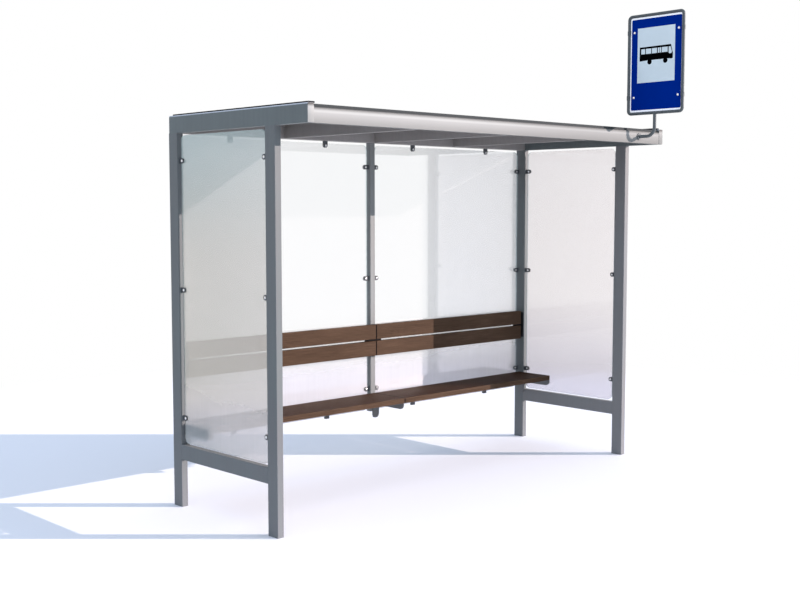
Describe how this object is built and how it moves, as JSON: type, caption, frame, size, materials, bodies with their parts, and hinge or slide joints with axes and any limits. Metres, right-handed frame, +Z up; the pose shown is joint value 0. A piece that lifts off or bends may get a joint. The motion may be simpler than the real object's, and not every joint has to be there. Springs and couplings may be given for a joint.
{
  "type": "bus shelter",
  "caption": "Steel-framed bus shelter with a flat roof reaching over its open front, glass on the sides and back, a slatted timber bench and a bus stop sign on a bent stem.",
  "frame": {"origin": "centre of the overall plan box, roof and sign included, on the ground", "axes": "+X along the shelter to the sign's end, +Y to the glazed back, -Y the open front, +Z up"},
  "size_m": [3.343, 1.7352, 3.256],
  "materials": {
    "frame_paint": "satin blue-grey powder coat on rolled steel tube",
    "fascia_paint": "satin light grey powder coat on the front edge of the roof",
    "roof_paint": "satin dark grey coated sheet panel",
    "roof_trim": "matt near-black edge profiles",
    "glass": "clear toughened safety glass with ground edges",
    "clamp_paint": "dark grey coated clamps",
    "bolt_steel": "stainless round-headed bolts",
    "wood": "brown stained planed timber, fine straight grain",
    "bracket_paint": "grey powder coat on cut steel plate",
    "sign_paint": "blue sign face with white border and a pale panel",
    "sign_tube_paint": "dark grey coated bent tube"
  },
  "bodies": {
    "root": {"back_glass_left": "glass", "back_glass_right": "glass", "backrest_lower_left": "wood", "backrest_lower_right": "wood", "backrest_plate_left": "frame_paint", "backrest_plate_middle": "frame_paint", "backrest_plate_right": "frame_paint", "backrest_upper_left": "wood", "backrest_upper_right": "wood", "bench_bracket_left": "bracket_paint", "bench_bracket_middle": "bracket_paint", "bench_bracket_right": "bracket_paint", "front_fascia": "fascia_paint", "front_post_left": "frame_paint", "front_post_right": "frame_paint", "glass_bolts_left": "bolt_steel", "glass_bolts_right": "bolt_steel", "glass_clamps_left": "clamp_paint", "glass_clamps_right": "clamp_paint", "glass_stays_left": "clamp_paint", "glass_stays_right": "clamp_paint", "lower_rail_left": "frame_paint", "lower_rail_right": "frame_paint", "middle_post": "frame_paint", "rafter_left": "frame_paint", "rafter_middle": "frame_paint", "rafter_right": "frame_paint", "rear_beam": "frame_paint", "rear_post_left": "frame_paint", "rear_post_right": "frame_paint", "roof_arm_left": "frame_paint", "roof_arm_right": "frame_paint", "roof_front_trim": "roof_trim", "roof_panel": "roof_paint", "roof_side_cover_left": "roof_trim", "roof_side_cover_right": "roof_trim", "seat_left": "wood", "seat_right": "wood", "side_glass_left": "glass", "side_glass_right": "glass", "sign_clamps": "sign_tube_paint", "sign_flange": "sign_tube_paint", "sign_frame": "sign_tube_paint", "sign_plate": "sign_paint", "sign_stem": "sign_tube_paint"}
  },
  "joints": []
}
